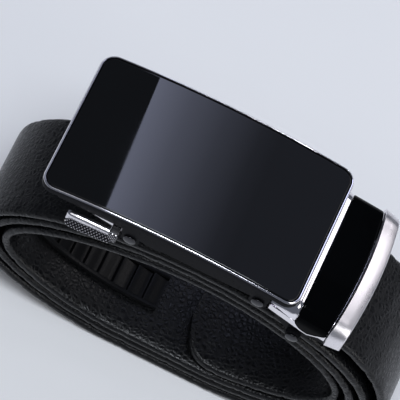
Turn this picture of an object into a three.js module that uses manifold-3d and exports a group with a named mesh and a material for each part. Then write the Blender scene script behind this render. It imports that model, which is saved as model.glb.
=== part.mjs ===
// Automatic ratchet belt, unfastened and rolled up, its buckle lying on top of the coil.
// Millimetres. +X runs along the face to the clamp end, +Y across the strap, +Z up.
// The face is arched along X. Heights below are measured from a level FACE_RISE under its
// middle, close to the height of its ends; the last lines stand the belt on z = 0.
import * as THREE from 'three';
import { mergeVertices } from 'three/addons/utils/BufferGeometryUtils.js';
import Module from 'manifold-3d';

const wasm = await Module();
wasm.setup();

// Strap
const STRAP_WIDTH = 35;
const STRAP_THICKNESS = 3.2;
const TAIL_TIP_LENGTH = 17;

// Coil: an oval seen from the side, wound inwards from the clamp end
const COIL_HALF_LENGTH = 62.5;
const COIL_HALF_HEIGHT = 36;
const COIL_FLATTENING = 1.2;
const COIL_AHEAD_OF_FACE = 9.55;
const COIL_UNDER_JAW = 0.4;
const TURN_GAP = 1.25;
const TURN_GAP_UNDER_BUCKLE = 0.35;
const TAIL_END_TURNS = 3.235;

// Ratchet track on the back of the tail
const TRACK_WIDTH = 12;
const TRACK_RAIL_WIDTH = 1.4;
const TRACK_BASE = 0.7;
const TOOTH_HEIGHT = 0.9;
const TOOTH_PITCH = 5.2;
const TRACK_START_TURNS = 2.262;
const TRACK_TO_TIP = 42;

// Face
const FACE_LENGTH = 77.6;
const FACE_CORNER = 4.2;
const FACE_RISE = 2.65;
const FACE_ARCH_RADIUS = 228;
const FACE_THICKNESS = 3;
const FACE_BEVEL = 0.4;
const RIM_WIDTH = 0.6;
const GLASS_THICKNESS = 1.4;
const GLASS_SUNK = 0.12;

// Housing under the face
const HOUSING_INSET = 4.3;
const SIDE_PLAY = 0.7;
const WALL = 1.7;
const WEB = 0.9;
const CHANNEL_HEIGHT = 5.4;
const WALL_DEPTH = 11.7;
const LUG_RADIUS = 2.8;
const GUIDE_BAR_LENGTH = 5;
const GUIDE_BAR_THICKNESS = 2.4;

// Pins
const PIN_RADIUS = 1.25;
const PIN_HEAD_RADIUS = 1.9;
const PIN_HEAD_HEIGHT = 0.6;
const PIN_DEPTH = 13.1;
const LEVER_PIN_FROM_END = 28.65;
const HINGE_PIN_FROM_END = 9.95;
const JAW_PIN_PAST_FACE = 2.95;
const JAW_PIN_DEPTH = 21.8;

// Release lever
const PAWL_REACH = 16.5;
const PAWL_THICKNESS = 2.6;
const BARREL_RADIUS = 2.6;
const TAB_LENGTH = 13.8;
const TAB_REACH = 18.5;
const TAB_WIDTH = 3.1;
const TAB_HEIGHT = 4.6;
const TAB_DROP = 2.4;
const KNURL_ROWS = 3;
const KNURL_PITCH = 1.05;
const KNURL_HEIGHT = 0.35;

// Clamp end
const CLAMP_LENGTH = 16.1;
const COVER_UNDER_FACE = 6.75;
const COVER_DROP = 0.75;
const COVER_SLOPE = 3;
const COVER_WALL = 1;
const COVER_CROWN = 1.2;
const COVER_SHOULDER = 5;
const COVER_INSET = 1.4;
const LIP_LENGTH = 1.3;
const BAND_LENGTH = 4.8;
const BAND_PROUD = 0.5;
const MOUTH_BULGE = 1.6;
const PANEL_THICKNESS = 0.9;
const PANEL_REVEAL = 0.5;
const COVER_HEIGHT = 9.8;
const CHEEK = 1.2;
const GRIP_LENGTH = 12.5;
const STRAP_END_INSERT = 13.35;
const STRAP_END_DEPTH = 14.2;
const STRAP_END_SLOPE = 30;
const JAW_THICKNESS = 1.8;
const JAW_LENGTH = 10;

// Clearance between neighbouring pieces
const GAP = 0.3;

const DEGREE = Math.PI / 180;
const TURN = 360;
const TURN_STEP = 7.2;
const ROUND_SIDES = 12;
const CORNER_STEPS = 6;
const ARCH_STEPS = 8;

// Places along the face, and half widths across the strap, from the strap outwards
const leverPinX = -FACE_LENGTH / 2 + LEVER_PIN_FROM_END;
const hingePinX = FACE_LENGTH / 2 - HINGE_PIN_FROM_END;
const jawPinX = FACE_LENGTH / 2 + JAW_PIN_PAST_FACE;
const clampEndX = FACE_LENGTH / 2 + CLAMP_LENGTH;
const wallInner = STRAP_WIDTH / 2 + SIDE_PLAY;
const wallOuter = wallInner + WALL;
const cheekInner = STRAP_WIDTH / 2 + GAP;
const cheekOuter = cheekInner + CHEEK;
const coverHalf = cheekOuter + GAP + COVER_WALL + GAP + PANEL_THICKNESS;
const bossOuter = coverHalf - PIN_HEAD_HEIGHT - 0.2;
const faceWidth = 2 * (coverHalf + COVER_INSET);
const jawBarrelRadius = PIN_RADIUS + 3 * GAP;

const material = (color, roughness, metalness) =>
  new THREE.MeshStandardMaterial({ color, roughness, metalness });
const LEATHER = material(0x17181c, 0.55, 0);
const TRACK_PLASTIC = material(0x15161a, 0.4, 0);
const CHROME = material(0xd8d6dc, 0.12, 1);
const SATIN_CHROME = material(0xcfcad0, 0.32, 1);
const DARK_METAL = material(0x3a3b40, 0.35, 1);
const BLACK_GLASS = material(0x0b0c0f, 0.06, 0);

const belt = new THREE.Group();

function addPiece(name, geometry, look) {
  geometry.computeVertexNormals();
  const mesh = new THREE.Mesh(geometry, look);
  mesh.name = name;
  belt.add(mesh);
}

// Booleans
function solid(geometry) {
  const bare = geometry.clone();
  bare.deleteAttribute('normal');
  bare.deleteAttribute('uv');
  const merged = mergeVertices(bare, 1e-4);
  return new wasm.Manifold(new wasm.Mesh({
    numProp: 3,
    vertProperties: new Float32Array(merged.attributes.position.array),
    triVerts: new Uint32Array(merged.index.array),
  }));
}

function geometryOf(shape) {
  const mesh = shape.getMesh();
  const geometry = new THREE.BufferGeometry();
  geometry.setAttribute('position', new THREE.BufferAttribute(mesh.vertProperties, 3));
  geometry.setIndex(new THREE.BufferAttribute(mesh.triVerts, 1));
  return geometry;
}

const joined = (...shapes) => shapes.reduce((whole, part) => whole.add(part));

// Basic solids
function block([x0, x1], [y0, y1], [z0, z1]) {
  const box = new THREE.BoxGeometry(x1 - x0, y1 - y0, z1 - z0);
  return solid(box.translate((x0 + x1) / 2, (y0 + y1) / 2, (z0 + z1) / 2));
}

function rod(radius, [y0, y1], x, z) {
  const cylinder = new THREE.CylinderGeometry(radius, radius, y1 - y0, ROUND_SIDES);
  return solid(cylinder.translate(x, (y0 + y1) / 2, z));
}

// A side outline of (x, z) points, drawn out across the strap from y0 to y1
function sideProfile(points, [y0, y1]) {
  const outline = new THREE.Shape(points.map(([x, z]) => new THREE.Vector2(x, z)));
  const drawn = new THREE.ExtrudeGeometry(outline, { depth: y1 - y0, bevelEnabled: false });
  return solid(drawn.rotateX(Math.PI / 2).translate(0, y1, 0));
}

// A closed skin through sections that have the same number of points. Ends of two matching
// halves are closed by crosswise strips, other flat ends by triangles.
function loft(sections, matchingHalves = true) {
  const count = sections[0].length;
  const positions = sections.flat().flatMap((p) => [p.x, p.y, p.z]);
  const faces = [];
  for (let s = 0; s + 1 < sections.length; s += 1) {
    for (let i = 0; i < count; i += 1) {
      const a = s * count + i;
      const b = s * count + ((i + 1) % count);
      faces.push(a, b, b + count, a, b + count, a + count);
    }
  }
  for (const [start, first] of [[0, true], [(sections.length - 1) * count, false]]) {
    const flip = matchingHalves ? first : sectionIsClockwise(sections[0]) !== first;
    const triangles = matchingHalves ? crossStrips(count) : fill(sections[start / count]);
    for (const [a, b, c] of triangles) {
      faces.push(start + a, start + (flip ? c : b), start + (flip ? b : c));
    }
  }
  const geometry = new THREE.BufferGeometry();
  geometry.setAttribute('position', new THREE.Float32BufferAttribute(positions, 3));
  geometry.setIndex(faces);
  return outward(geometry);
}

// A flat section's points in its own plane: across the strap, and away from its first point
function flatSection(section) {
  const away = section.map((p) => new THREE.Vector2(p.x - section[0].x, p.z - section[0].z));
  const up = away.reduce((far, v) => (v.length() > far.length() ? v : far)).clone().normalize();
  return section.map((p, i) => new THREE.Vector2(p.y, away[i].dot(up)));
}

const sectionIsClockwise = (section) => THREE.ShapeUtils.isClockWise(flatSection(section));
const fill = (section) => THREE.ShapeUtils.triangulateShape(flatSection(section), []);

function crossStrips(count) {
  const triangles = [];
  for (let i = 0; i + 1 < count / 2; i += 1) {
    const [a, b, c, d] = [i, i + 1, count - 2 - i, count - 1 - i];
    triangles.push([a, b, d]);
    if (b !== c) triangles.push([b, c, d]);
  }
  return triangles;
}

// Turns a skin's faces outwards when its signed volume is negative
function outward(geometry) {
  const p = geometry.attributes.position;
  const index = geometry.index.array;
  const corners = [new THREE.Vector3(), new THREE.Vector3(), new THREE.Vector3()];
  let volume = 0;
  for (let i = 0; i < index.length; i += 3) {
    corners.forEach((corner, k) => corner.fromBufferAttribute(p, index[i + k]));
    volume += corners[0].dot(corners[1].cross(corners[2]));
  }
  if (volume < 0) {
    for (let i = 0; i < index.length; i += 3) {
      [index[i + 1], index[i + 2]] = [index[i + 2], index[i + 1]];
    }
  }
  return geometry;
}

const faceRise = (x) => FACE_RISE - FACE_ARCH_RADIUS + Math.sqrt(FACE_ARCH_RADIUS ** 2 - x ** 2);

// A rounded rectangle bowed like the face: its far long side, then its near one
function bowedOutline([length, width, corner], inset, height) {
  const radius = corner - inset;
  const [x, y] = [length / 2 - corner, width / 2 - corner];
  const turns = range(0, 90 * DEGREE, CORNER_STEPS);
  const side = [
    ...turns.map((turn) => [-x - radius * Math.cos(turn), y + radius * Math.sin(turn)]),
    ...range(-x, x, ARCH_STEPS).slice(1, -1).map((along) => [along, y + radius]),
    ...turns.map((turn) => [x + radius * Math.sin(turn), y + radius * Math.cos(turn)]),
  ];
  const whole = [...side, ...side.toReversed().map(([along, across]) => [along, -across])];
  return whole.map(([along, across]) => new THREE.Vector3(along, across, faceRise(along) + height));
}

// A bowed plate between two heights, its edges bevelled
function bowedPlate(shape, bottom, top, bevel) {
  return solid(loft([
    bowedOutline(shape, bevel, bottom),
    bowedOutline(shape, 0, bottom + bevel),
    bowedOutline(shape, 0, top - bevel),
    bowedOutline(shape, bevel, top),
  ]));
}

// The strap's centreline. Travel is the angle gone round the oval, clockwise from its right end.
const coilAtJaw = COIL_HALF_HEIGHT * Math.sqrt(1 - ((jawPinX - COIL_AHEAD_OF_FACE) / COIL_HALF_LENGTH) ** 2);
const coilBelowFace = JAW_PIN_DEPTH + jawBarrelRadius + COIL_UNDER_JAW + coilAtJaw;
const coilCentre = new THREE.Vector2(COIL_AHEAD_OF_FACE, -coilBelowFace);
const floor = coilCentre.y - COIL_HALF_HEIGHT + COIL_FLATTENING;

function ovalPoint(travel) {
  const angle = -travel * DEGREE;
  const softness = 0.3;
  const rise = COIL_HALF_HEIGHT * Math.sin(angle);
  const excess = (COIL_FLATTENING - COIL_HALF_HEIGHT - rise) / softness;
  const lifted = rise + softness * Math.log(1 + Math.exp(excess));
  return new THREE.Vector2(COIL_HALF_LENGTH * Math.cos(angle), lifted).add(coilCentre);
}

function outwardOf(pointAt, travel) {
  const along = pointAt(travel + 0.2).sub(pointAt(travel - 0.2)).normalize();
  return new THREE.Vector2(-along.y, along.x);
}

// Turns lie closer together under the buckle, which weighs on them
function pitchAt(travel) {
  const fromTop = THREE.MathUtils.euclideanModulo(travel + 85 + TURN / 2, TURN) - TURN / 2;
  const pressed = Math.exp(-((fromTop / 32) ** 2));
  return STRAP_THICKNESS + THREE.MathUtils.lerp(TURN_GAP, TURN_GAP_UNDER_BUCKLE, pressed);
}

// Each turn steps inwards by one pitch on the lower right quarter of the oval
function turnAt(travel) {
  const turn = Math.floor(travel / TURN);
  return turn - 1 + THREE.MathUtils.smoothstep(travel - TURN * turn, 0, TURN / 4);
}

function coilPoint(travel) {
  const inwards = turnAt(travel) * pitchAt(travel) + STRAP_THICKNESS / 2;
  return ovalPoint(travel).addScaledVector(outwardOf(ovalPoint, travel), -inwards);
}

const coilStation = (travel) => ({ at: coilPoint(travel), out: outwardOf(coilPoint, travel), wide: 1 });

// The strap leaves the clamp on a slope and curves down onto the coil
const strapEnd = new THREE.Vector2(clampEndX - STRAP_END_INSERT, -STRAP_END_DEPTH);
const strapEndAngle = -STRAP_END_SLOPE * DEGREE;
const strapEndAlong = new THREE.Vector2(Math.cos(strapEndAngle), Math.sin(strapEndAngle));
const strapMouth = strapEnd.clone().addScaledVector(strapEndAlong, STRAP_END_INSERT);

function leadStations() {
  const join = coilStation(0);
  const down = new THREE.Vector2(join.out.y, -join.out.x);
  const reach = strapMouth.distanceTo(join.at);
  const bend = new THREE.CubicBezierCurve(
    strapMouth,
    strapMouth.clone().addScaledVector(strapEndAlong, 0.36 * reach),
    join.at.clone().addScaledVector(down, -0.42 * reach),
    join.at,
  );
  const across = (t) => ({ x: -t.y, y: t.x });
  const normal = (t) => new THREE.Vector2(across(t).x, across(t).y);
  const straight = { out: normal(strapEndAlong), wide: 1 };
  const stations = [{ at: strapEnd, ...straight }, { at: strapMouth, ...straight }];
  const bendSteps = 10;
  for (let i = 1; i < bendSteps; i += 1) {
    const t = i / bendSteps;
    stations.push({ at: bend.getPoint(t), out: normal(bend.getTangent(t)), wide: 1 });
  }
  return stations;
}

// Arc length along the coil between two travels, for a line at a depth inside the centreline
function arcTable(from, to, depth) {
  const line = (travel) => coilPoint(travel).addScaledVector(outwardOf(coilPoint, travel), -depth);
  const table = [{ travel: from, length: 0 }];
  for (let travel = from + 1; travel <= to; travel += 1) {
    const last = table[table.length - 1];
    table.push({ travel, length: last.length + line(travel).distanceTo(line(last.travel)) });
  }
  const lengthTo = table[table.length - 1].length;
  const travelAt = (length) => {
    const after = Math.max(1, table.findIndex((row) => row.length >= length));
    const [a, b] = [table[after - 1], table[after]];
    return THREE.MathUtils.mapLinear(length, a.length, b.length, a.travel, b.travel);
  };
  return { lengthTo, travelAt };
}

const tailEnd = TAIL_END_TURNS * TURN;
const tailTable = arcTable(tailEnd - TURN / 4, tailEnd, 0);

function strapStations() {
  const tipStart = tailTable.travelAt(tailTable.lengthTo - TAIL_TIP_LENGTH);
  const stations = leadStations();
  for (let travel = 0; travel < tipStart - TURN_STEP / 2; travel += TURN_STEP) {
    stations.push(coilStation(travel));
  }
  for (const part of [0, 0.4, 0.65, 0.82, 0.93, 0.99]) {
    const travel = tailTable.travelAt(tailTable.lengthTo - TAIL_TIP_LENGTH * (1 - part));
    stations.push({ ...coilStation(travel), wide: (1 - part ** 2.6) ** (1 / 2.6) });
  }
  return stations;
}

// Rounded strap section, from its far face round the near edge and back
function strapSection({ at, out, wide }) {
  const edge = STRAP_THICKNESS / 2;
  const flat = (STRAP_WIDTH / 2) * wide - edge * Math.min(1, wide * 2);
  const points = [];
  for (const [side, angles] of [[-1, [90, 52, 18, -18, -52, -90]], [1, [-90, -52, -18, 18, 52, 90]]]) {
    for (const angle of angles) {
      const y = side * (flat + edge * Math.min(1, wide * 2) * Math.cos(angle * DEGREE));
      const place = at.clone().addScaledVector(out, edge * Math.sin(angle * DEGREE));
      const z = place.y < floor + 0.03 ? floor : place.y;
      points.push(new THREE.Vector3(place.x, y, z));
    }
  }
  return points;
}

function makeStrap() {
  addPiece('strap', loft(strapStations().map(strapSection)), LEATHER);
}

// Ratchet track: two rails with sawteeth between them
function trackSection(travel, rise) {
  const { at, out } = coilStation(travel);
  const seat = STRAP_THICKNESS / 2 + GAP;
  const rail = TRACK_WIDTH / 2;
  const inner = rail - TRACK_RAIL_WIDTH;
  const full = TRACK_BASE + TOOTH_HEIGHT;
  const low = TRACK_BASE + rise * TOOTH_HEIGHT * 0.85;
  const corners = [[-rail, 0], [-rail, full], [-inner, full], [-inner, low],
    [inner, low], [inner, full], [rail, full], [rail, 0]];
  return corners.map(([y, height]) => {
    const place = at.clone().addScaledVector(out, -seat - height);
    return new THREE.Vector3(place.x, y, place.y);
  });
}

function makeTrack() {
  const start = TRACK_START_TURNS * TURN;
  const table = arcTable(start, tailEnd, STRAP_THICKNESS / 2);
  const teeth = Math.floor((table.lengthTo - TRACK_TO_TIP) / TOOTH_PITCH);
  const sections = [];
  for (let tooth = 0; tooth < teeth; tooth += 1) {
    sections.push(trackSection(table.travelAt(tooth * TOOTH_PITCH), 0));
    sections.push(trackSection(table.travelAt((tooth + 0.86) * TOOTH_PITCH), 1));
  }
  addPiece('ratchet_track', loft(sections, false), TRACK_PLASTIC);
}

// Face
function makeFace() {
  const glassFloor = -GLASS_SUNK - GLASS_THICKNESS;
  const plate = [FACE_LENGTH, faceWidth, FACE_CORNER];
  const opening = [FACE_LENGTH - 2 * RIM_WIDTH, faceWidth - 2 * RIM_WIDTH, FACE_CORNER - RIM_WIDTH];
  const hollow = loft([bowedOutline(opening, 0, glassFloor - GAP), bowedOutline(opening, 0, GAP)]);
  const tray = bowedPlate(plate, -FACE_THICKNESS, 0, FACE_BEVEL).subtract(solid(hollow));
  addPiece('face_frame', geometryOf(tray), CHROME);
  const glass = [opening[0] - 2 * GAP, opening[1] - 2 * GAP, opening[2] - GAP];
  addPiece('face_glass', geometryOf(bowedPlate(glass, glassFloor, -GLASS_SUNK, GAP)), BLACK_GLASS);
}

// Housing: web under the face, two side walls with pin lugs, guide bar under the channel
const webTop = -FACE_THICKNESS - GAP;
const channelTop = webTop - WEB;
const channelFloor = channelTop - CHANNEL_HEIGHT;
const armLength = 2.7;
const armEnd = leverPinX - BARREL_RADIUS - GAP;

// Points under the face, at a height against the web's top
const underFace = (from, to, height) =>
  range(from, to, ARCH_STEPS).map((x) => [x, webTop + height + faceRise(x)]);

function makeHousing() {
  const left = -FACE_LENGTH / 2 + HOUSING_INSET;
  const right = hingePinX + LUG_RADIUS;
  const webEnd = right - 8;
  const webProfile = [...underFace(left, webEnd, -WEB), ...underFace(left, webEnd, 0).toReversed()];
  const wallProfile = [[left, webTop - 3], [left + 3.5, -WALL_DEPTH], [right, -WALL_DEPTH],
    ...underFace(left, right, 0).toReversed()];
  const parts = [sideProfile(webProfile, [-wallOuter, wallOuter])];
  for (const side of [-1, 1]) {
    const across = [side * wallInner, side * wallOuter].sort((a, b) => a - b);
    parts.push(sideProfile(wallProfile, across));
    for (const x of [leverPinX, hingePinX]) {
      parts.push(rod(LUG_RADIUS, across, x, -PIN_DEPTH));
    }
  }
  const barStart = leverPinX + BARREL_RADIUS + GAP + 1.4;
  const bar = block([barStart, barStart + GUIDE_BAR_LENGTH], [-wallOuter, wallOuter],
    [channelFloor - GAP - GUIDE_BAR_THICKNESS, channelFloor - GAP]);
  const armWindow = block([left - 1, armEnd - 0.2], [-wallOuter - 1, -wallInner + 1],
    [-PIN_DEPTH - LUG_RADIUS - 1, channelFloor + 0.6]);
  let housing = joined(...parts, bar).subtract(armWindow);
  for (const x of [leverPinX, hingePinX]) {
    housing = housing.subtract(rod(PIN_RADIUS + GAP, [-wallOuter - 1, wallOuter + 1], x, -PIN_DEPTH));
  }
  addPiece('buckle_frame', geometryOf(housing), DARK_METAL);
}

// Riveted pin: a rod with a low domed head at each end
function makePin(name, x, depth, reach) {
  const neck = reach + GAP;
  const end = neck + PIN_HEAD_HEIGHT;
  const half = [[PIN_RADIUS, neck], [PIN_HEAD_RADIUS, neck], [PIN_HEAD_RADIUS, neck + PIN_HEAD_HEIGHT / 2],
    [PIN_HEAD_RADIUS * 0.62, end], [0, end]];
  const lower = half.toReversed().map(([r, y]) => new THREE.Vector2(r, -y));
  const profile = [...lower, ...half.map(([r, y]) => new THREE.Vector2(r, y))];
  const pin = new THREE.LatheGeometry(profile, ROUND_SIDES);
  addPiece(name, geometryOf(solid(pin.translate(x, 0, -depth))), CHROME);
}

// Release lever: barrel on the pin, pawl plate across the channel, arm and knurled thumb tab
function tabSection(x, top, height) {
  const inner = -wallOuter - GAP - 0.3;
  const outer = inner - TAB_WIDTH;
  return [[inner, top], [inner - 1.6, top + 0.15], [outer + 0.35, top - 0.9], [outer, top - 0.45 * height],
    [outer + 0.15, top - 0.9 * height], [outer + 0.9, top - height], [inner, top - height]]
    .map(([y, z]) => new THREE.Vector3(x, y, z));
}

function makeLever() {
  const half = wallInner - GAP;
  const pawlTop = channelFloor - GAP;
  const tip = leverPinX - PAWL_REACH;
  const pawl = sideProfile([[tip, pawlTop - 0.2], [tip + 0.6, pawlTop - PAWL_THICKNESS],
    [leverPinX, -PIN_DEPTH - BARREL_RADIUS], [leverPinX, pawlTop - 0.9], [tip + 3.2, pawlTop - 0.9],
    [tip + 2.4, pawlTop]], [-half, half]);
  const tabLeft = leverPinX - TAB_REACH;
  const tabRight = tabLeft + TAB_LENGTH;
  const tabTop = channelFloor - 1.1;
  const table = [
    { part: 0, drop: 0.55, tall: 0.62 },
    { part: 0.06, drop: 0.35, tall: 0.96 },
    { part: 0.5, drop: 0.16, tall: 0.93 },
    { part: 1, drop: 0, tall: 0.78 },
  ];
  const tab = solid(loft(table.map(({ part, drop, tall }) =>
    tabSection(tabLeft + part * TAB_LENGTH, tabTop - drop * TAB_DROP, tall * TAB_HEIGHT)), false));
  const armNear = -wallOuter - GAP - 0.3 - TAB_WIDTH * 0.75;
  const arm = block([tabRight - 1.2, tabRight - 1.2 + armLength], [armNear, -half + 4],
    [tabTop - TAB_HEIGHT * 0.72, channelFloor + 0.1]);
  let lever = joined(rod(BARREL_RADIUS, [-half, half], leverPinX, -PIN_DEPTH), pawl, tab, arm);
  const knurlColumns = Math.floor((TAB_LENGTH - 2.4) / KNURL_PITCH);
  const knurlFace = -wallOuter - GAP - 0.3 - TAB_WIDTH;
  for (let row = 0; row < KNURL_ROWS; row += 1) {
    for (let column = 0; column < knurlColumns; column += 1) {
      const x = tabLeft + 1.5 + (column + (row % 2) / 2) * KNURL_PITCH;
      const slant = (tabRight - x) * 0.06;
      const z = tabTop - TAB_HEIGHT * 0.42 - slant - row * KNURL_PITCH * 0.62;
      const point = new THREE.CylinderGeometry(KNURL_PITCH * 0.18, KNURL_PITCH * 0.55, KNURL_HEIGHT * 2, 4);
      lever = lever.add(solid(point.rotateX(Math.PI / 2).rotateX(Math.PI).translate(x, knurlFace + 0.12, z)));
    }
  }
  lever = lever.subtract(rod(PIN_RADIUS + GAP, [-half - 1, half + 1], leverPinX, -PIN_DEPTH));
  addPiece('release_lever', geometryOf(lever), CHROME);
}

// Clamp end. Cover sections run along X, each an arch of points from the near foot to the far foot.
const coverStart = FACE_LENGTH / 2 - COVER_UNDER_FACE;
const coverLip = FACE_LENGTH / 2 + LIP_LENGTH;
const bandStart = clampEndX - BAND_LENGTH;
const alongCover = (x) => THREE.MathUtils.clamp((x - coverStart) / (clampEndX - coverStart), 0, 1);
const coverFall = (x) => COVER_SLOPE * alongCover(x) ** 1.4;

// The cover clears the underside of the face's end by COVER_DROP
const coverTopAt = (x) => faceRise(FACE_LENGTH / 2) - FACE_THICKNESS - COVER_DROP
  + coverFall(FACE_LENGTH / 2) - coverFall(x);

// The foot of the arch, as shares of the cover's length and height
const FOOT_TABLE = [
  { along: 0, below: 0.66 },
  { along: 0.09, below: 0.735 },
  { along: 0.49, below: 0.985 },
  { along: 0.56, below: 1 },
  { along: 0.7, below: 0.8 },
  { along: 1, below: 0.845 },
];

function footAt(x) {
  const along = alongCover(x);
  const after = Math.max(1, FOOT_TABLE.findIndex((row) => row.along >= along));
  const [a, b] = [FOOT_TABLE[after - 1], FOOT_TABLE[after]];
  const below = THREE.MathUtils.mapLinear(along, a.along, b.along, a.below, b.below);
  return coverTopAt(x) - COVER_HEIGHT * below;
}

// An arch at height offset `rise` outside the cover's face, as points across the strap
function arch(x, rise, foot) {
  const half = coverHalf + rise;
  const top = coverTopAt(x) + rise;
  const shoulder = COVER_SHOULDER + rise;
  const bulge = MOUTH_BULGE * THREE.MathUtils.smoothstep(x, coverLip, bandStart);
  const side = [[half, foot]];
  for (const angle of [0, 30, 60, 90]) {
    const y = half - shoulder + shoulder * Math.cos(angle * DEGREE);
    side.push([y, top - COVER_CROWN - shoulder * (1 - Math.sin(angle * DEGREE))]);
  }
  for (const share of [0.75, 0.45, 0.15]) {
    side.push([share * (half - shoulder), top - COVER_CROWN * share ** 2]);
  }
  const points = [...side.map(([y, z]) => [-y, z]), ...side.toReversed()];
  return points.map(([y, z]) => new THREE.Vector3(x + bulge * (1 - (y / coverHalf) ** 2), y, z));
}

// One section of a shell between two arches
const archWall = (x, outerRise, innerRise, foot) =>
  [...arch(x, outerRise, foot), ...arch(x, innerRise, foot).toReversed()];

// A shell between two arches, over a run of x positions
const archShell = (xs, outerRise, innerRise, footOf) =>
  loft(xs.map((x) => archWall(x, outerRise, innerRise, footOf(x))));

const panelSeat = -PANEL_THICKNESS - GAP;
const coverInner = panelSeat - COVER_WALL;

function range(from, to, steps) {
  return Array.from({ length: steps + 1 }, (_, i) => from + ((to - from) * i) / steps);
}

function makeCover() {
  const lip = archShell(range(coverStart, coverLip, 4), 0, coverInner, footAt);
  const underPanel = range(coverLip - GAP, bandStart - GAP, 5);
  const seat = archShell(underPanel, panelSeat, coverInner, footAt);
  const chin = archShell(underPanel, 0, coverInner, footAt);
  const overPanel = range(coverLip - GAP / 2, bandStart + COVER_WALL, 5);
  const panelCut = loft(overPanel.map((x) => arch(x, COVER_WALL, footAt(x) + PANEL_REVEAL)));
  const chinOnly = solid(chin).subtract(solid(panelCut));
  addPiece('clamp_cover', geometryOf(joined(solid(lip), solid(seat), chinOnly)), CHROME);
}

function makePanel() {
  const footOf = (x) => footAt(x) + PANEL_REVEAL + GAP;
  const xs = range(coverLip + GAP, bandStart - GAP - 0.1, 5);
  addPiece('clamp_panel', archShell(xs, -0.1, -PANEL_THICKNESS, footOf), BLACK_GLASS);
}

function makeBand() {
  const xs = [bandStart, bandStart + 0.5, clampEndX - 0.6, clampEndX];
  const rises = [BAND_PROUD - 0.3, BAND_PROUD, BAND_PROUD, BAND_PROUD - 0.4];
  const sections = xs.map((x, i) => archWall(x, rises[i], coverInner, footAt(x)));
  addPiece('clamp_band', loft(sections), SATIN_CHROME);
}

// Inner frame of the clamp end: hinge barrel, bridge, cheeks and the grip above the strap
const alongStrap = (x) => -STRAP_END_DEPTH - Math.tan(STRAP_END_SLOPE * DEGREE) * (x - strapEnd.x);
const strapHalfRise = STRAP_THICKNESS / 2 / Math.cos(STRAP_END_SLOPE * DEGREE);

function makeClampFrame() {
  const half = wallInner - GAP;
  const start = hingePinX + LUG_RADIUS + GAP;
  const underCover = (x) => coverTopAt(x) + coverInner - COVER_CROWN - 3 * GAP;
  const gripStart = strapEnd.x - 2.5;
  const gripEnd = gripStart + GRIP_LENGTH;
  const overStrap = (x) => alongStrap(x) + strapHalfRise + GAP;
  const grip = sideProfile([[gripStart, underCover(gripStart)], [gripStart, overStrap(gripStart)],
    [gripEnd, overStrap(gripEnd)], [gripEnd, underCover(gripEnd)]], [-cheekInner - GAP, cheekInner + GAP]);
  const cheekTop = (x) => coverTopAt(x) - COVER_CROWN - COVER_SHOULDER - GAP;
  const cheekProfile = [
    [start, cheekTop(start)],
    [start, -PIN_DEPTH - 1.6],
    [jawPinX - 2, -JAW_PIN_DEPTH - 1],
    [jawPinX + 1.5, -JAW_PIN_DEPTH - 1.2],
    [jawPinX + 8, -JAW_PIN_DEPTH + 3],
    [gripEnd, -JAW_PIN_DEPTH + 5],
    [gripEnd, cheekTop(gripEnd)],
  ];
  const parts = [grip, rod(BARREL_RADIUS, [-half, half], hingePinX, -PIN_DEPTH)];
  for (const side of [-1, 1]) {
    const across = [side * cheekInner, side * cheekOuter].sort((a, b) => a - b);
    parts.push(sideProfile(cheekProfile, across));
    const boss = [side * cheekInner, side * bossOuter].sort((a, b) => a - b);
    parts.push(rod(PIN_HEAD_RADIUS + GAP, boss, jawPinX, -JAW_PIN_DEPTH));
  }
  parts.push(block([hingePinX, start + 3], [-half, half], [-PIN_DEPTH - 1.6, -PIN_DEPTH + 0.6]));
  parts.push(block([start, start + 3], [-cheekOuter, cheekOuter], [-PIN_DEPTH - 1.6, -PIN_DEPTH + 0.6]));
  let frame = joined(...parts);
  frame = frame.subtract(rod(PIN_RADIUS + GAP, [-cheekOuter - 1, cheekOuter + 1], hingePinX, -PIN_DEPTH));
  frame = frame.subtract(rod(PIN_RADIUS + GAP, [-bossOuter - 1, bossOuter + 1], jawPinX, -JAW_PIN_DEPTH));
  addPiece('clamp_frame', geometryOf(frame), DARK_METAL);
}

// Jaw under the strap's cut end
function makeJaw() {
  const half = cheekInner - GAP;
  const underStrap = (x) => alongStrap(x) - strapHalfRise - GAP;
  const start = jawPinX + 0.8;
  const end = start + JAW_LENGTH;
  const plate = sideProfile([[start, underStrap(start)], [jawPinX - 0.5, -JAW_PIN_DEPTH - 1],
    [start, -JAW_PIN_DEPTH - PIN_RADIUS - 0.5], [end, underStrap(end) - JAW_THICKNESS * 0.7],
    [end, underStrap(end)]], [-half, half]);
  const barrel = rod(jawBarrelRadius, [-half, half], jawPinX, -JAW_PIN_DEPTH);
  const bore = rod(PIN_RADIUS + GAP, [-half - 1, half + 1], jawPinX, -JAW_PIN_DEPTH);
  addPiece('clamp_jaw', geometryOf(joined(plate, barrel).subtract(bore)), DARK_METAL);
}

makeFace();
makeHousing();
makeLever();
makePin('lever_pin', leverPinX, PIN_DEPTH, wallOuter);
makePin('hinge_pin', hingePinX, PIN_DEPTH, wallOuter);
makePin('clamp_pin', jawPinX, JAW_PIN_DEPTH, bossOuter);
makeCover();
makePanel();
makeBand();
makeClampFrame();
makeJaw();
makeStrap();
makeTrack();

// The origin is under the middle of the belt's box, on the surface it lies on
const box = new THREE.Box3().setFromObject(belt);
const middle = box.getCenter(new THREE.Vector3());
belt.position.set(-middle.x, -middle.y, -box.min.z);

export default belt;
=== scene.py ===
import math

import bpy
from mathutils import Matrix, Vector, noise


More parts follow.
